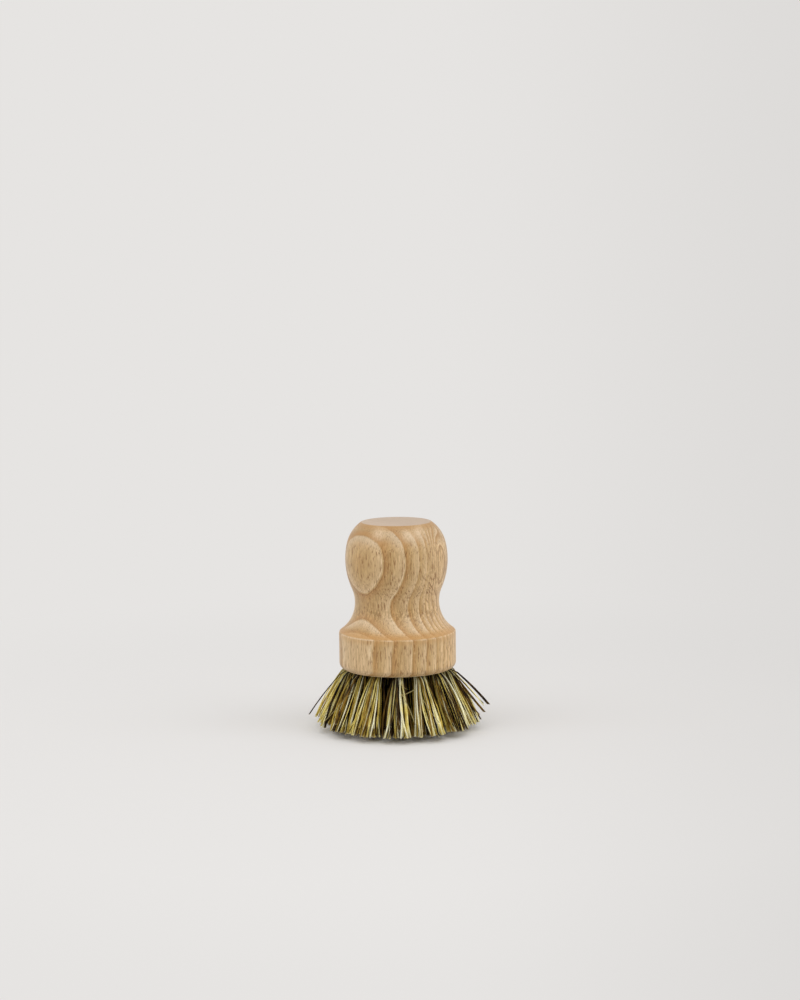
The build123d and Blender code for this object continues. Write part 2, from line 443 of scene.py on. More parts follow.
class Nodes:
    """A material's node tree. A socket takes a number, a colour or another node's output."""

    def __init__(self, tree):
        self.tree = tree
        tree.nodes.clear()

    def add(self, kind, sockets=None, output=0, **settings):
        node = self.tree.nodes.new(kind)
        for key, value in settings.items():
            setattr(node, key, value)
        for key, value in (sockets or {}).items():
            self.plug(node.inputs[key], value)
        return node.outputs[output] if node.outputs else node

    def plug(self, socket, value):
        if isinstance(value, bpy.types.NodeSocket):
            self.tree.links.new(value, socket)
        else:
            socket.default_value = value

    def math(self, operation, first, second=0.0, clamp=False):
        return self.add("ShaderNodeMath", {0: first, 1: second}, operation=operation, use_clamp=clamp)

    def times(self, first, second):
        return self.math("MULTIPLY", first, second)

    def vector(self, operation, first, second, output=0):
        return self.add("ShaderNodeVectorMath", {0: first, 1: second}, output=output, operation=operation)

    def axis(self, vector, index):
        """One coordinate of a vector."""
        return self.add("ShaderNodeSeparateXYZ", {0: vector}, output=index)

    def scaled(self, value, middle, amount):
        """The value's difference from a middle, times an amount."""
        return self.times(self.math("SUBTRACT", value, middle), amount)

    def distance(self, value, middle):
        """How far the value is from a middle, either way."""
        return self.math("ABSOLUTE", self.math("SUBTRACT", value, middle))

    def noise(self, vector, detail=2.0, roughness=0.5):
        sockets = {"Vector": vector, "Scale": 1.0, "Detail": detail, "Roughness": roughness}
        return self.add("ShaderNodeTexNoise", sockets)

    def wood_noise(self, grain, kind):
        """One of the wood's named noises."""
        scale, shift, detail, roughness = WOOD_NOISES[kind]
        return self.noise(self.stretch(grain, scale, shift=shift), detail, roughness)

    def stretch(self, vector, scale, turn=(0, 0, 0), shift=(0, 0, 0)):
        sockets = {"Vector": vector, "Scale": scale, "Rotation": turn, "Location": shift}
        return self.add("ShaderNodeMapping", sockets)

    def remap(self, value, low, high, new_low=0.0, new_high=1.0, kind="LINEAR"):
        sockets = {"Value": value, "From Min": low, "From Max": high, "To Min": new_low, "To Max": new_high}
        return self.add("ShaderNodeMapRange", sockets, interpolation_type=kind)

    def ease(self, value, low, high, new_low=0.0, new_high=1.0):
        """A remap that starts and ends softly."""
        return self.remap(value, low, high, new_low, new_high, "SMOOTHSTEP")

    def mix(self, share, first, second, blend="MIX"):
        sockets = {0: share}
        for key, colour in ((6, first), (7, second)):
            sockets[key] = colour if isinstance(colour, bpy.types.NodeSocket) else (*colour, 1)
        return self.add("ShaderNodeMix", sockets, output=2, data_type="RGBA", blend_type=blend)

    def tint(self, colour, tone):
        """The colour times a grey tone, which may be above 1."""
        grey = self.add("ShaderNodeCombineXYZ", {0: tone, 1: tone, 2: tone})
        return self.vector("MULTIPLY", colour, grey)

    def warm_tint(self, colour, tone):
        """The colour times a tone that is richer where it is darker: green and blue fall faster than red."""
        rich = self.add("ShaderNodeCombineXYZ", {
            0: tone, 1: self.math("POWER", tone, 1.2), 2: self.math("POWER", tone, 1.6)
        })
        return self.vector("MULTIPLY", colour, rich)

    def bell(self, place, middle, spread):
        """Exponential of minus half the squared distance from a middle in mm, measured in spreads in mm."""
        scale = [1 / (width * MM) for width in spread]
        shift = [-middle_mm / width for middle_mm, width in zip(middle, spread)]
        offset = self.stretch(place, scale, shift=shift)
        distance = self.vector("DOT_PRODUCT", offset, offset, output=1)
        return self.math("EXPONENT", self.times(distance, -0.5))

    def ramp(self, value, stops):
        node = self.tree.nodes.new("ShaderNodeValToRGB")
        self.tree.links.new(value, node.inputs[0])
        elements = node.color_ramp.elements
        for element, (position, colour) in zip(elements, (stops[0], stops[-1])):
            element.position = position
            element.color = (*colour, 1)
        for position, colour in stops[1:-1]:
            elements.new(position).color = (*colour, 1)
        return node.outputs[0]

    def surface(self, shader):
        self.add("ShaderNodeOutputMaterial", {"Surface": shader})


def new_material(name):
    """A named material and its emptied node tree."""
    material = bpy.data.materials.new(name)
    material.use_nodes = True
    return material, Nodes(material.node_tree)


def ring_field(nodes, place, grain, across, level):
    """Distance in mm from the pith, less the axis's own, tilted with height and bent by noises and swells."""
    from_pith = nodes.stretch(grain, (1, 1, 0), shift=(PITH_DISTANCE_MM, 0, 0))
    radius = nodes.vector("LENGTH", from_pith, from_pith, output=1)
    radial = nodes.math("SUBTRACT", radius, PITH_DISTANCE_MM)
    radial = nodes.math("ADD", radial, nodes.scaled(level, TILT_LEVEL_MM, PITH_TILT))
    slow_amount = nodes.remap(across, -6.0, 16.0, 1.8, 0.8)
    fine_amount = nodes.remap(across, -6.0, 12.0, 0.6, 0.4)
    slow_shift = nodes.scaled(nodes.wood_noise(grain, "slow"), 0.5, slow_amount)
    fine_shift = nodes.scaled(nodes.wood_noise(grain, "fine"), 0.5, fine_amount)
    rings = nodes.math("ADD", radial, nodes.math("ADD", slow_shift, fine_shift))
    for middle, spread, height in GRAIN_SWELLS:
        swell = nodes.times(nodes.bell(place, middle, spread), height)
        rings = nodes.math("ADD", rings, swell)
    return rings


def ring_season(nodes, rings):
    """Season of growth: it jumps from 0 to 1 at each ring's border and falls evenly to 0 by the next."""
    narrow = [WIDE_RINGS_MM[-1] - NARROW_RING_MM * (number + 1) for number in range(NARROW_RINGS)]
    stops = [(0.0, (FIRST_SEASON,) * 3)]
    for border in sorted((*WIDE_RINGS_MM, *narrow)):
        share = (border + RING_REACH_MM) / (2 * RING_REACH_MM)
        stops.append((share - HALF_BORDER, (0, 0, 0)))
        stops.append((share + HALF_BORDER, (1, 1, 1)))
    stops.append((1.0, (LAST_SEASON,) * 3))
    return nodes.ramp(nodes.remap(rings, -RING_REACH_MM, RING_REACH_MM), stops)


def ring_colour(nodes, settings, across, level, rings, season):
    """Late to early wood by season, weaker to the right, with a dark line and a pale lip at each border."""
    on_knob = nodes.remap(level, *KNOB_LEVELS_MM, 1.0, 0.55)
    knob_strength = nodes.remap(rings, 13.5, 8.5, 1.0, on_knob)
    strength = nodes.times(nodes.remap(across, 8.0, -10.0, 1.0, 0.5), knob_strength)
    band = nodes.math("ADD", nodes.scaled(season, MEAN_SEASON, strength), MEAN_SEASON)
    woods = (settings.dark_wood, settings.middle_wood, settings.light_wood)
    wood = nodes.ramp(band, list(zip((0.0, 0.32, 1.0), woods)))
    narrow_rings = nodes.remap(rings, 2.0, -1.0, 0.0, 0.16)
    crowded = nodes.times(nodes.remap(level, *CROWDED_LEVELS_MM), narrow_rings)
    line_width = nodes.math("ADD", nodes.remap(rings, 6.0, 1.0, 0.065, 0.2), crowded)
    line = nodes.ease(season, 0.0, line_width, LINE_DEPTH, 0.0)
    wood = nodes.mix(line, wood, settings.ring_line)
    lip = nodes.ease(season, 0.93, 0.98, 0.0, 0.55)
    return nodes.mix(lip, wood, settings.ring_lip_and_hem_light)


def grain_marks(nodes, settings, wood, place, grain, streaks, dash):
    """Mottle and streaks along the grain, dark dashes, lines that cross the rings, and pale flecks."""
    wood = nodes.warm_tint(wood, nodes.remap(nodes.wood_noise(grain, "mottle"), 0.3, 0.7, 0.93, 1.06))
    wood = nodes.warm_tint(wood, nodes.remap(streaks, 0.36, 0.64, 0.83, 1.16))
    wood = nodes.mix(dash, wood, settings.pore)
    for middle, spread, slant in CROSSINGS:
        slanted = nodes.stretch(place, PER_MM, turn=(0, slant, 0))
        slant_line = nodes.ease(nodes.wood_noise(slanted, "crossing"), 0.59, 0.64, 0.0, 0.75)
        crossing = nodes.times(slant_line, nodes.bell(place, middle, spread))
        wood = nodes.mix(crossing, wood, settings.pore)
    fleck = nodes.ease(nodes.wood_noise(grain, "fleck"), 0.62, 0.74, 0.0, 0.4)
    return nodes.mix(fleck, wood, settings.light_wood)


def slope_colours_and_painted_light(nodes, settings, wood, place, across, level, season, streaks, facing):
    """Painted light: a lighter right side and base, a painted highlight on slopes that is stronger on early
    wood, ochre late wood on slopes, painted shade on the crown, and painted highlight patches on it.
    """
    # Painted light: the right side is painted lighter, and the base a little lighter than the knob.
    painted_right_light = nodes.remap(across, 5.0, -8.0, 0.97, 1.19)
    painted_base_light = nodes.remap(level, *BASE_LEVELS_MM, 1.035, 1.0)
    wood = nodes.tint(wood, nodes.times(painted_right_light, painted_base_light))
    # Painted highlight where the surface slopes up at a middle angle, stronger on early wood: the glint of
    # the lamps above.
    slope_start = nodes.ease(facing, 0.15, 0.4)
    slope_end = nodes.ease(facing, 0.62, 0.78, 1.0, 0.0)
    slope = nodes.times(slope_start, slope_end)
    painted_highlight = nodes.times(slope, nodes.remap(season, 0.3, 0.9, 0.08, 0.45))
    wood = nodes.mix(painted_highlight, wood, settings.painted_highlight)
    # Ochre on late wood over the sloped band, and painted shade where crown and shoulder face nearly straight
    # up, out of the painted highlight.
    late = nodes.remap(season, 0.0, 0.75, 1.0, 0.0)
    late_share = nodes.times(late, nodes.remap(level, *BELLY_LEVELS_MM, 0.32, 0.8))
    late_slope = nodes.times(slope, late_share)
    crown_painted_shade = nodes.ease(facing, 0.62, 0.8, 0.0, 0.72)
    wood = nodes.mix(nodes.math("MAXIMUM", late_slope, crown_painted_shade), wood, settings.ochre_and_painted_shade)
    # Painted shade: the crown, and the flat top with it, darkens towards the top.
    wood = nodes.tint(wood, nodes.ease(level, *CROWN_LEVELS_MM, 1.0, 0.85))
    # Painted highlight patches on the crown, broken up by the streaks.
    highlight_share = nodes.remap(streaks, 0.36, 0.6, 0.3, 0.8)
    for middle, spread in PAINTED_CROWN_HIGHLIGHTS:
        highlight_patch = nodes.times(nodes.bell(place, middle, spread), highlight_share)
        wood = nodes.mix(highlight_patch, wood, settings.painted_highlight)
    return wood


def turning_marks_and_hem_light(nodes, settings, wood, grain, level):
    """Torn grain below the neck, a richer strip under the rim, and painted shade along the hem of the base
    with a painted pale line of floor light below it.
    """
    near_torn = nodes.ease(nodes.distance(level, TORN_LEVEL_MM), 0.8, 4.0, 1.0, 0.0)
    torn = nodes.noise(nodes.stretch(grain, TORN_SCALE, turn=TORN_TURN), 3.0, 0.7)
    torn_tone = nodes.scaled(nodes.remap(torn, 0.4, 0.6, 0.8, 1.12), 1.0, near_torn)
    wood = nodes.warm_tint(wood, nodes.math("ADD", torn_tone, 1.0))
    strip_start = nodes.ease(level, *UNDER_RIM_MM, 0.0, 0.32)
    strip_end = nodes.remap(level, *RIM_MM, 1.0, 0.0)
    wood = nodes.mix(nodes.times(strip_start, strip_end), wood, settings.ochre_and_painted_shade)
    # Painted shade where the rounded lower edge of the base turns down, and under it a painted pale line of
    # light from the floor.
    hem_painted_shade = nodes.ease(nodes.distance(level, HEM_LEVEL_MM), 0.4, 1.4, 0.88, 1.0)
    wood = nodes.tint(wood, hem_painted_shade)
    hem_painted_light = nodes.remap(level, HEM_LEVEL_MM - 1.0, HEM_LEVEL_MM - 1.3, 0.0, 0.5)
    return nodes.mix(hem_painted_light, wood, settings.ring_lip_and_hem_light)


def sawn_top(nodes, settings, wood, grain, across, facing):
    """End grain with faint rays where the surface faces straight up."""
    sawn = nodes.ease(facing, 0.9, 0.99, 0.0, 0.62)
    ray_tone = nodes.remap(nodes.wood_noise(grain, "ray"), 0.35, 0.65, 0.95, 1.05)
    sawn_tone = nodes.times(ray_tone, nodes.remap(across, 2.0, 9.0, 0.96, 1.1))
    return nodes.mix(sawn, wood, nodes.tint(settings.end_grain, sawn_tone))


def beech_material(settings):
    """Beech: growth rings that are circles about the pith, marks along the grain, end grain on top, and
    painted highlight and shade.
    """
    material, nodes = new_material("beech")
    place = nodes.add("ShaderNodeTexCoord", output=3)
    grain = nodes.stretch(place, PER_MM, turn=(0, 0, math.radians(180 + FRONT - PITH_TURN)))
    across = nodes.axis(grain, 0)
    level = nodes.axis(grain, 2)
    facing = nodes.axis(nodes.add("ShaderNodeNewGeometry", output=1), 2)
    streaks = nodes.wood_noise(grain, "streak")
    dash = nodes.ease(nodes.wood_noise(grain, "dash"), 0.54, 0.67, 0.0, 0.76)
    rings = ring_field(nodes, place, grain, across, level)
    season = ring_season(nodes, rings)
    wood = ring_colour(nodes, settings, across, level, rings, season)
    wood = grain_marks(nodes, settings, wood, place, grain, streaks, dash)
    wood = slope_colours_and_painted_light(nodes, settings, wood, place, across, level, season, streaks, facing)
    wood = turning_marks_and_hem_light(nodes, settings, wood, grain, level)
    wood = sawn_top(nodes, settings, wood, grain, across, facing)
    relief = nodes.math("SUBTRACT", nodes.times(season, 0.12), nodes.times(dash, 0.7))
    bump = nodes.add("ShaderNodeBump", {"Height": relief, "Strength": 0.5, "Distance": 0.05 * MM})
    shader = nodes.add("ShaderNodeBsdfPrincipled", {
        "Base Color": wood,
        "Roughness": nodes.remap(season, 0.0, 1.0, 0.4, 0.48),
        "Sheen Weight": 0.09,
        "Sheen Roughness": 0.5,
        "Normal": bump,
    })
    nodes.surface(shader)
    return material


# Screen colours of the fibres by tone, and scales per metre of the streaks along fibres and wire
FIBRE_TONES = (
    (0.00, (24, 13, 0)),
    (0.12, (50, 32, 5)),
    (0.22, (92, 67, 20)),
    (0.32, (138, 106, 38)),
    (0.44, (176, 148, 60)),
    (0.56, (213, 189, 92)),
    (0.68, (241, 223, 132)),
    (0.80, (253, 242, 176)),
    (0.91, (255, 249, 202)),
    (1.00, (255, 252, 220)),
)
FIBRE_PATCHES = (500, 500, 90)
FIBRE_STREAKS = (5200, 5200, 160)
WIRE_LINES = (9000, 9000, 300)
TONE_LOTS = 97.0


def palm_material():
    """Palm fibre: a tone to each fibre from dark brown through olive to cream, with lengthwise streaks and
    painted shade towards the roots.
    """
    material, nodes = new_material("palm_fibre")
    fibre = nodes.add("ShaderNodeAttribute", attribute_name="fibre", output=2)
    along = nodes.add("ShaderNodeAttribute", attribute_name="along", output=2)
    place = nodes.add("ShaderNodeTexCoord", output=3)
    patches = nodes.noise(nodes.stretch(place, FIBRE_PATCHES))
    tone = nodes.math("ADD", fibre, nodes.remap(patches, 0.3, 0.7, -0.13, 0.13), clamp=True)
    colour = nodes.ramp(tone, [(position, srgb(*shade)) for position, shade in FIBRE_TONES])
    lot_place = nodes.times(fibre, TONE_LOTS)
    lot = nodes.add("ShaderNodeTexWhiteNoise", {"W": lot_place}, noise_dimensions="1D")
    golden = nodes.remap(lot, 0.6, 0.95, 0.0, 0.3)
    colour = nodes.mix(golden, colour, srgb(232, 208, 96), blend="MULTIPLY")
    cut_end = nodes.remap(along, 0.97, 1.0, 0.0, 0.3)
    colour = nodes.mix(cut_end, colour, srgb(232, 222, 184))
    streaks = nodes.noise(nodes.stretch(place, FIBRE_STREAKS), detail=1.0)
    streak = nodes.remap(streaks, 0.35, 0.65, 0.85, 1.12)
    # Painted shade: each fibre, and each packed root, darkens to half towards the handle.
    colour = nodes.tint(colour, nodes.times(streak, nodes.remap(along, 0.0, 0.5, 0.5, 1.0)))
    bump = nodes.add("ShaderNodeBump", {"Height": streaks, "Strength": 0.4, "Distance": 0.04 * MM})
    shader = nodes.add("ShaderNodeBsdfPrincipled", {
        "Base Color": colour,
        "Roughness": 0.55,
        "Specular IOR Level": 0.14,
        "Normal": bump,
    })
    nodes.surface(shader)
    return material


def staple_material():
    """Drawn steel wire, with fine lines along it."""
    material, nodes = new_material("staple_wire")
    place = nodes.add("ShaderNodeTexCoord", output=3)
    lines = nodes.noise(nodes.stretch(place, WIRE_LINES))
    shader = nodes.add("ShaderNodeBsdfPrincipled", {
        "Base Color": nodes.ramp(lines, [(0.3, srgb(150, 150, 148)), (0.7, srgb(196, 195, 190))]),
        "Metallic": 1.0,
        "Roughness": nodes.remap(lines, 0.3, 0.7, 0.25, 0.4),
    })
    nodes.surface(shader)
    return material


# Operators

class PALMBRUSH_OT_handle(bpy.types.Operator):
    """Turn the beech handle and drill its holes"""

    bl_idname = "palmbrush.handle"
    bl_label = "Handle"

    def execute(self, context):
        settings = context.scene.palmbrush_handle
        outline = turned_outline(settings) + np.array((0, UNDERSIDE))
        handle = place_piece("turned_handle", *turned_surface(outline, TURNED_SIDES))
        rods = place_piece("drill_rods", *drill_rods(settings))
        drilling = handle.modifiers.new("drilling", "BOOLEAN")
        drilling.operation = "DIFFERENCE"
        drilling.solver = "EXACT"
        drilling.object = rods
        drilled = bpy.data.meshes.new_from_object(handle.evaluated_get(context.evaluated_depsgraph_get()))
        handle.modifiers.clear()
        handle.data = drilled
        bpy.data.objects.remove(rods)
        drilled.polygons.foreach_set("use_smooth", np.ones(len(drilled.polygons), bool))
        drilled.set_sharp_from_angle(angle=SHARP_ANGLE)
        drilled.materials.clear()
        drilled.materials.append(beech_material(settings))
        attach(handle, "root")
        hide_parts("handle")
        return {"FINISHED"}


def tuft_paths(settings, chance, mouth, outward, along, up, strays):
    """Fibre centre lines: a spiral of roots in the hole, a wider copy of it at the tips, and bows between.

    At share t of the way each has a sideways bow of 4t(1-t). Fibres on a tuft's outer side also bend outwards
    at the first station below the mouth and run straight from there. Tips end on the trimmed dome, which is
    cut flat where the brush stands.
    """
    count = settings.fibres
    order = np.arange(count)
    reach = settings.root_radius * ROOT_FILL * np.sqrt((order + 0.5) / count)
    turn = order * GOLDEN_ANGLE
    out = reach * np.cos(turn) + chance.normal(0, ROOT_SCATTER, count)
    aside = reach * np.sin(turn) + chance.normal(0, ROOT_SCATTER, count)
    level_mouth = np.array((mouth[0], mouth[1], 0))
    roots = level_mouth + out[:, None] * outward + aside[:, None] * along

    spread = np.stack((out * settings.flare_out, aside * settings.flare_along), axis=1)
    spread = spread + chance.normal(0, TIP_SCATTER, (count, 2))
    locks = spread[chance.choice(count, settings.locks, replace=False)]
    nearest = locks[np.argmin(np.linalg.norm(spread[:, None] - locks[None], axis=2), axis=1)]
    spread = spread + (nearest - spread) * settings.lock_pull
    tips = level_mouth * settings.ring_spread + spread[:, :1] * outward + spread[:, 1:] * along
    distance = np.linalg.norm(tips, axis=1)
    short = np.where(chance.random(count) < SHORT_SHARE, chance.uniform(*SHORTENING, count), 0)
    scatter = chance.normal(0, TRIM_SPREAD, count) * settings.trim_scatter
    dome = settings.dome_radius - np.sqrt(settings.dome_radius**2 - distance**2)
    height = np.maximum(0, dome - settings.standing_cut + scatter + short)

    sway = chance.normal(0, 1, (count, 2)) * settings.bow
    outermost = np.argsort(-roots @ outward)
    for fibre, (stray_reach, stray_height, *_) in zip(outermost, strays):
        tips[fibre] = roots[fibre] / np.linalg.norm(roots[fibre]) * stray_reach * MM
        height[fibre] = stray_height * MM

    t = FIBRE_STATIONS
    bow = (4 * t * (1 - t))[None, :, None] * np.concatenate((sway, np.zeros((count, 1))), axis=1)[:, None]
    outer_share = np.maximum(0, out) / settings.root_radius * np.linalg.norm(level_mouth) / RINGS[-1][2]
    lean = settings.splay * outer_share[:, None] * (1 - t) * np.minimum(1, t / FIBRE_STATIONS[1])
    paths = roots[:, None] + (tips - roots)[:, None] * t[None, :, None] + bow + lean[:, :, None] * outward
    paths[:, :, 2] = UNDERSIDE + (height - UNDERSIDE)[:, None] * t
    inside = roots + up * FIBRE_EMBED
    inside[:, 2] += UNDERSIDE
    return np.concatenate((inside[:, None], paths), axis=1), outermost[:len(strays)]


def packed_root(settings, depth, mouth, along, up, sides=16):
    """The folded root in its hole: circles about the hole's axis that round in to its end like a loaf."""
    radius = settings.root_radius * np.sqrt(np.maximum(ROOT_TIP_SHARE, 1 - ROOT_STEPS**ROOT_SQUARENESS))
    turn = np.arange(sides) * 2 * math.pi / sides
    across = np.cross(up, along)
    circle = np.cos(turn)[:, None] * along - np.sin(turn)[:, None] * across
    length = depth - ROOT_RECESS - ROOT_END_ROOM
    middle = mouth + (ROOT_RECESS + ROOT_STEPS * length)[:, None] * up
    points = middle[:, None] + radius[:, None, None] * circle
    faces = ring_faces(len(ROOT_STEPS), sides)[:, ::-1].tolist()
    faces.append(list(range(sides)))
    faces.append([(len(ROOT_STEPS) - 1) * sides + side for side in reversed(range(sides))])
    return points.reshape(-1, 3), faces


class PALMBRUSH_OT_tufts(bpy.types.Operator):
    """Fill every hole with a tuft of palm fibre"""

    bl_idname = "palmbrush.tufts"
    bl_label = "Tufts"

    def execute(self, context):
        settings = context.scene.palmbrush_tufts
        depth = context.scene.palmbrush_handle.hole_depth
        chance = np.random.default_rng(settings.seed)
        material = palm_material()
        station = np.concatenate(((0.0,), FIBRE_STATIONS))
        taper = np.interp(station, TAPER_SHARES, TAPER_RADII)
        for name, mouth, outward, along, up in hole_frames():
            strays = STRAYS.get(name, ())
            paths, stray_fibres = tuft_paths(settings, chance, mouth, outward, along, up, strays)
            count = len(paths)
            thickness = chance.beta(*THICKNESS_LOT, count)
            radius = settings.thinnest + (settings.thickest - settings.thinnest) * thickness
            tone = chance.beta(*TONE_LOT, count)
            # Painted shade: tufts of the inner rings get darker tones.
            if "outer" not in name:
                tone = tone * INNER_PAINTED_SHADE
            for fibre, (*_, stray_radius, stray_tone) in zip(stray_fibres, strays):
                radius[fibre] = stray_radius * MM
                tone[fibre] = stray_tone
            points, faces, smooth = fibre_tubes(paths, radius[:, None] * taper, FIBRE_SIDES)
            root_points, root_faces = packed_root(settings, depth, mouth, along, up)
            faces.extend([corner + len(points) for corner in face] for face in root_faces)
            smooth = np.concatenate((smooth, np.ones(len(root_faces), bool)))
            tones = np.repeat(tone, len(station) * FIBRE_SIDES)
            shares = np.tile(np.repeat(station, FIBRE_SIDES), count)
            attributes = {
                "fibre": np.concatenate((tones, np.full(len(root_points), ROOT_TONE))),
                "along": np.concatenate((shares, np.zeros(len(root_points)))),
            }
            points = np.concatenate((points, root_points))
            tuft = place_piece(f"{name}_fibres", points, faces, smooth, attributes)
            tuft.data.materials.append(material)
            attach(tuft, "root")
            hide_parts(name)
        return {"FINISHED"}


def hair_path(start, end, bow, stations=9):
    """A straight line from end to end, both given by turn, reach and height, plus a level bow of 4t(1-t)."""
    corners = []
    for turn, reach, height in (start, end):
        angle = math.radians(FRONT + turn)
        corners.append((reach * math.cos(angle), reach * math.sin(angle), height))
    first, last = np.array(corners)
    t = np.linspace(0, 1, stations)[:, None]
    sideways = np.cross(last - first, (0, 0, 1))
    sideways = sideways / np.linalg.norm(sideways)
    return (first + (last - first) * t + sideways * bow * 4 * t * (1 - t)) * MM


class PALMBRUSH_OT_hairs(bpy.types.Operator):
    """Lay the pale hairs that are caught among the fibres"""

    bl_idname = "palmbrush.hairs"
    bl_label = "Loose hairs"

    def execute(self, context):
        paths = np.stack([hair_path(start, end, bow) for start, end, bow, *_ in HAIRS])
        stations = paths.shape[1]
        radii = np.repeat([[radius * MM] for *_, radius, _ in HAIRS], stations, axis=1)
        points, faces, smooth = fibre_tubes(paths, radii, FIBRE_SIDES)
        tones = np.repeat([tone for *_, tone in HAIRS], stations * FIBRE_SIDES)
        attributes = {"fibre": tones, "along": np.ones(len(points))}
        hairs = place_piece("loose_hairs", points, faces, smooth, attributes)
        hairs.data.materials.append(bpy.data.materials["palm_fibre"])
        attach(hairs, "root")
        return {"FINISHED"}


class PALMBRUSH_OT_staples(bpy.types.Operator):
    """Give the staples their drawn steel"""

    bl_idname = "palmbrush.staples"
    bl_label = "Staples"

    def execute(self, context):
        material = staple_material()
        for name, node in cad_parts.items():
            if name.startswith("staples_"):
                node.data.materials.clear()
                node.data.materials.append(material)
        return {"FINISHED"}


class PALMBRUSH_OT_stage(bpy.types.Operator):
    """Lay the pale floor and set the backdrop, the lamps and the camera"""

    bl_idname = "palmbrush.stage"
    bl_label = "Stage"

    def execute(self, context):
        settings = context.scene.palmbrush_stage
        context.scene.view_settings.view_transform = "Standard"
        lay_floor(settings)
        light_world(context, settings)
        for name, place, size, power in LAMPS:
            hang_lamp(name, place, size, getattr(settings, power))
        set_camera(context)
        return {"FINISHED"}


# Stage

# Square lamps: name, place and side in metres, and the setting that holds the power
LAMPS = (
    ("low_left_lamp", (-0.9, 0.05, 0.24), 0.45, "side_light"),
    ("low_right_lamp", (0.9, 0.05, 0.24), 0.45, "side_light"),
    ("left_lamp", (-0.9, -0.4, 1.0), 0.8, "left_light"),
    ("right_lamp", (0.9, -0.4, 1.0), 0.8, "right_light"),
    ("front_lamp", (0.0, -0.75, 1.35), 1.2, "front_light"),
    ("top_lamp", (0.0, -0.1, 1.2), 0.6, "top_light"),
)
LAMP_AIM = Vector((0, 0, 0.045))

# Metres over which the floor's glow comes in: from the axis, from front to back, and further out
NEAR_FADE = (0.03, 0.045)
FRONT_FADE = (-0.02, 0.005)
FAR_FADE = (0.1, 0.35)
BACKDROP_FADE = (0.0, 0.22)


def backdrop_colour(nodes, settings, direction):
    """Backdrop colour that darkens a little towards the right of a direction from the viewer's place."""
    share = nodes.ease(nodes.axis(direction, 0), *BACKDROP_FADE)
    return nodes.mix(share, settings.backdrop, settings.backdrop_right)


def lay_floor(settings, radius=6.0, rows=40, sides=96):
    """A level disc of widening rings, radius (k / rows)^2.5, that takes shadows only near the brush."""
    reach = radius * (np.arange(1, rows + 1)[:, None] / rows) ** 2.5
    turn = np.arange(sides) * 2 * math.pi / sides
    grid = np.stack((reach * np.cos(turn), reach * np.sin(turn), 0 * reach * turn), axis=-1)
    points = np.concatenate((grid.reshape(-1, 3), np.zeros((1, 3))))
    faces = ring_faces(rows, sides)[:, ::-1].tolist()
    faces.extend([[len(points) - 1, side, (side + 1) % sides] for side in range(sides)])
    floor = place_piece("floor", points, faces, False)
    material, nodes = new_material("floor")
    place = nodes.add("ShaderNodeTexCoord", output=3)
    distance = nodes.vector("LENGTH", place, place, output=1)
    around = nodes.remap(distance, *NEAR_FADE, 0.0, 0.5)
    before = nodes.remap(nodes.axis(place, 1), *FRONT_FADE, 1.0, 0.2)
    fade_near = nodes.times(around, before)
    fade_far = nodes.ease(distance, *FAR_FADE)
    fade = nodes.math("MAXIMUM", fade_near, fade_far)
    viewer = (0, -CAMERA_DISTANCE, CAMERA_DISTANCE * math.sin(math.radians(CAMERA_ELEVATION)))
    seen_from = nodes.vector("NORMALIZE", nodes.vector("SUBTRACT", place, viewer), place)
    colour = backdrop_colour(nodes, settings, seen_from)
    lit = nodes.add("ShaderNodeBsdfDiffuse", {"Color": colour})
    glow = nodes.add("ShaderNodeEmission", {"Color": colour, "Strength": 1.0})
    shown = nodes.add("ShaderNodeMixShader", {0: fade, 1: lit, 2: glow})
    camera_ray = nodes.add("ShaderNodeLightPath")
    below = nodes.add("ShaderNodeNewGeometry", output=6)
    open_below = nodes.times(camera_ray, below)
    clear = nodes.add("ShaderNodeBsdfTransparent")
    nodes.surface(nodes.add("ShaderNodeMixShader", {0: open_below, 1: shown, 2: clear}))
    floor.data.materials.append(material)


def light_world(context, settings):
    """Even light from all round; camera, gloss and transmission rays see the backdrop's colour instead."""
    world = bpy.data.worlds.new("studio")
    world.use_nodes = True
    context.scene.world = world
    nodes = Nodes(world.node_tree)
    direction = nodes.add("ShaderNodeTexCoord")
    even = nodes.add("ShaderNodeBackground", {"Color": (1, 1, 1, 1), "Strength": settings.ambient})
    backdrop = nodes.add("ShaderNodeBackground", {"Color": backdrop_colour(nodes, settings, direction)})
    path = nodes.add("ShaderNodeLightPath")
    outputs = path.node.outputs
    seen = nodes.math("MAXIMUM", outputs["Is Camera Ray"], outputs["Is Glossy Ray"])
    seen = nodes.math("MAXIMUM", seen, outputs["Is Transmission Ray"])
    shown = nodes.add("ShaderNodeMixShader", {0: seen, 1: even, 2: backdrop})
    nodes.add("ShaderNodeOutputWorld", {"Surface": shown})


def hang_lamp(name, place, size, power):
    """A square soft lamp that faces the middle of the brush."""
    lamp = bpy.data.lights.new(name, "AREA")
    lamp.shape = "SQUARE"
    lamp.size = size
    lamp.energy = power
    holder = bpy.data.objects.new(name, lamp)
    holder.location = place
    holder.rotation_euler = (LAMP_AIM - Vector(place)).to_track_quat("-Z", "Y").to_euler()
    bpy.context.scene.collection.objects.link(holder)


# Camera, fitted to the photograph: its height, focal length and reference in pixels, the last from its middle
IMAGE_HEIGHT = 1000
FOCAL_PX = 2102.0
REFERENCE_PX = (-3.1, 97.75)
REFERENCE_HEIGHT = 0.0565
CAMERA_DISTANCE = 0.9
CAMERA_ELEVATION = 9.7
CAMERA_ROLL = -0.72
SENSOR_MM = 36.0


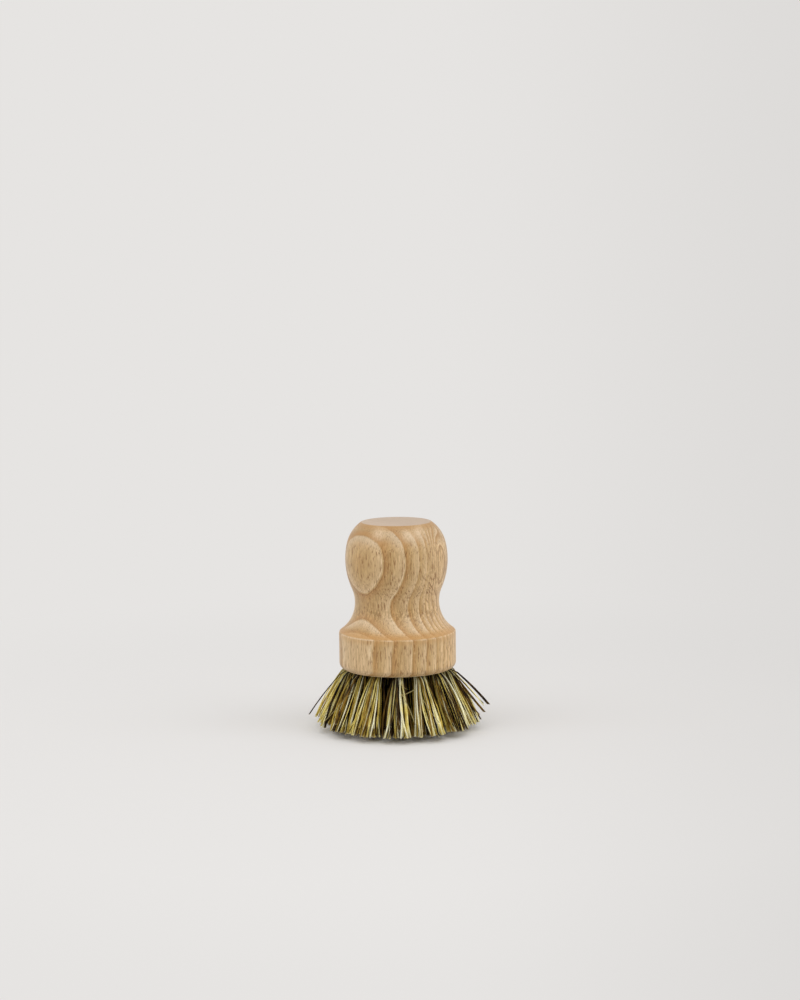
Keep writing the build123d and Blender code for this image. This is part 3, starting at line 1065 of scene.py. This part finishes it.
def set_camera(context):
    """Aims the camera so that, once rolled, it sees the reference on the axis at its pixel."""
    elevation = math.radians(CAMERA_ELEVATION)
    roll = math.radians(CAMERA_ROLL)
    across, below = Matrix.Rotation(-roll, 2) @ Vector(REFERENCE_PX)
    pitch = elevation - math.atan(below / FOCAL_PX)
    yaw = math.atan(across / FOCAL_PX)
    tilt = Matrix.Rotation(math.pi / 2 - pitch, 4, "X")
    turn = Matrix.Rotation(yaw, 4, "Z") @ tilt @ Matrix.Rotation(roll, 4, "Z")
    lens = bpy.data.cameras.new("camera")
    lens.sensor_width = SENSOR_MM
    lens.lens = SENSOR_MM * FOCAL_PX / IMAGE_HEIGHT
    lens.clip_start = 0.01
    lens.clip_end = 50.0
    camera = bpy.data.objects.new("camera", lens)
    place = Vector((0, -math.cos(elevation), math.sin(elevation))) * CAMERA_DISTANCE
    camera.matrix_world = Matrix.Translation(place + Vector((0, 0, REFERENCE_HEIGHT))) @ turn
    context.scene.collection.objects.link(camera)
    context.scene.camera = camera


OPERATORS = (
    PALMBRUSH_OT_handle,
    PALMBRUSH_OT_tufts,
    PALMBRUSH_OT_hairs,
    PALMBRUSH_OT_staples,
    PALMBRUSH_OT_stage,
)


class PALMBRUSH_PT_panel(bpy.types.Panel):
    """Lists the brush's pieces and sizes"""

    bl_idname = "PALMBRUSH_PT_panel"
    bl_label = "Palm brush"
    bl_space_type = "VIEW_3D"
    bl_region_type = "UI"
    bl_category = "Palm brush"

    def draw(self, context):
        for operator in OPERATORS:
            self.layout.operator(operator.bl_idname)
        scene = context.scene
        for group in (scene.palmbrush_handle, scene.palmbrush_tufts, scene.palmbrush_stage):
            box = self.layout.box()
            for key in group.bl_rna.properties.keys():
                if key not in ("rna_type", "name"):
                    box.prop(group, key)


CLASSES = (HandleSettings, TuftSettings, StageSettings, *OPERATORS, PALMBRUSH_PT_panel)


def register():
    for item in CLASSES:
        bpy.utils.register_class(item)
    bpy.types.Scene.palmbrush_handle = PointerProperty(type=HandleSettings)
    bpy.types.Scene.palmbrush_tufts = PointerProperty(type=TuftSettings)
    bpy.types.Scene.palmbrush_stage = PointerProperty(type=StageSettings)


def unregister():
    del bpy.types.Scene.palmbrush_handle
    del bpy.types.Scene.palmbrush_tufts
    del bpy.types.Scene.palmbrush_stage
    for item in reversed(CLASSES):
        bpy.utils.unregister_class(item)


def main():
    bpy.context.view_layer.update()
    register()
    bpy.ops.palmbrush.handle()
    bpy.ops.palmbrush.tufts()
    bpy.ops.palmbrush.hairs()
    bpy.ops.palmbrush.staples()
    bpy.ops.palmbrush.stage()


if __name__ == "__main__":
    main()
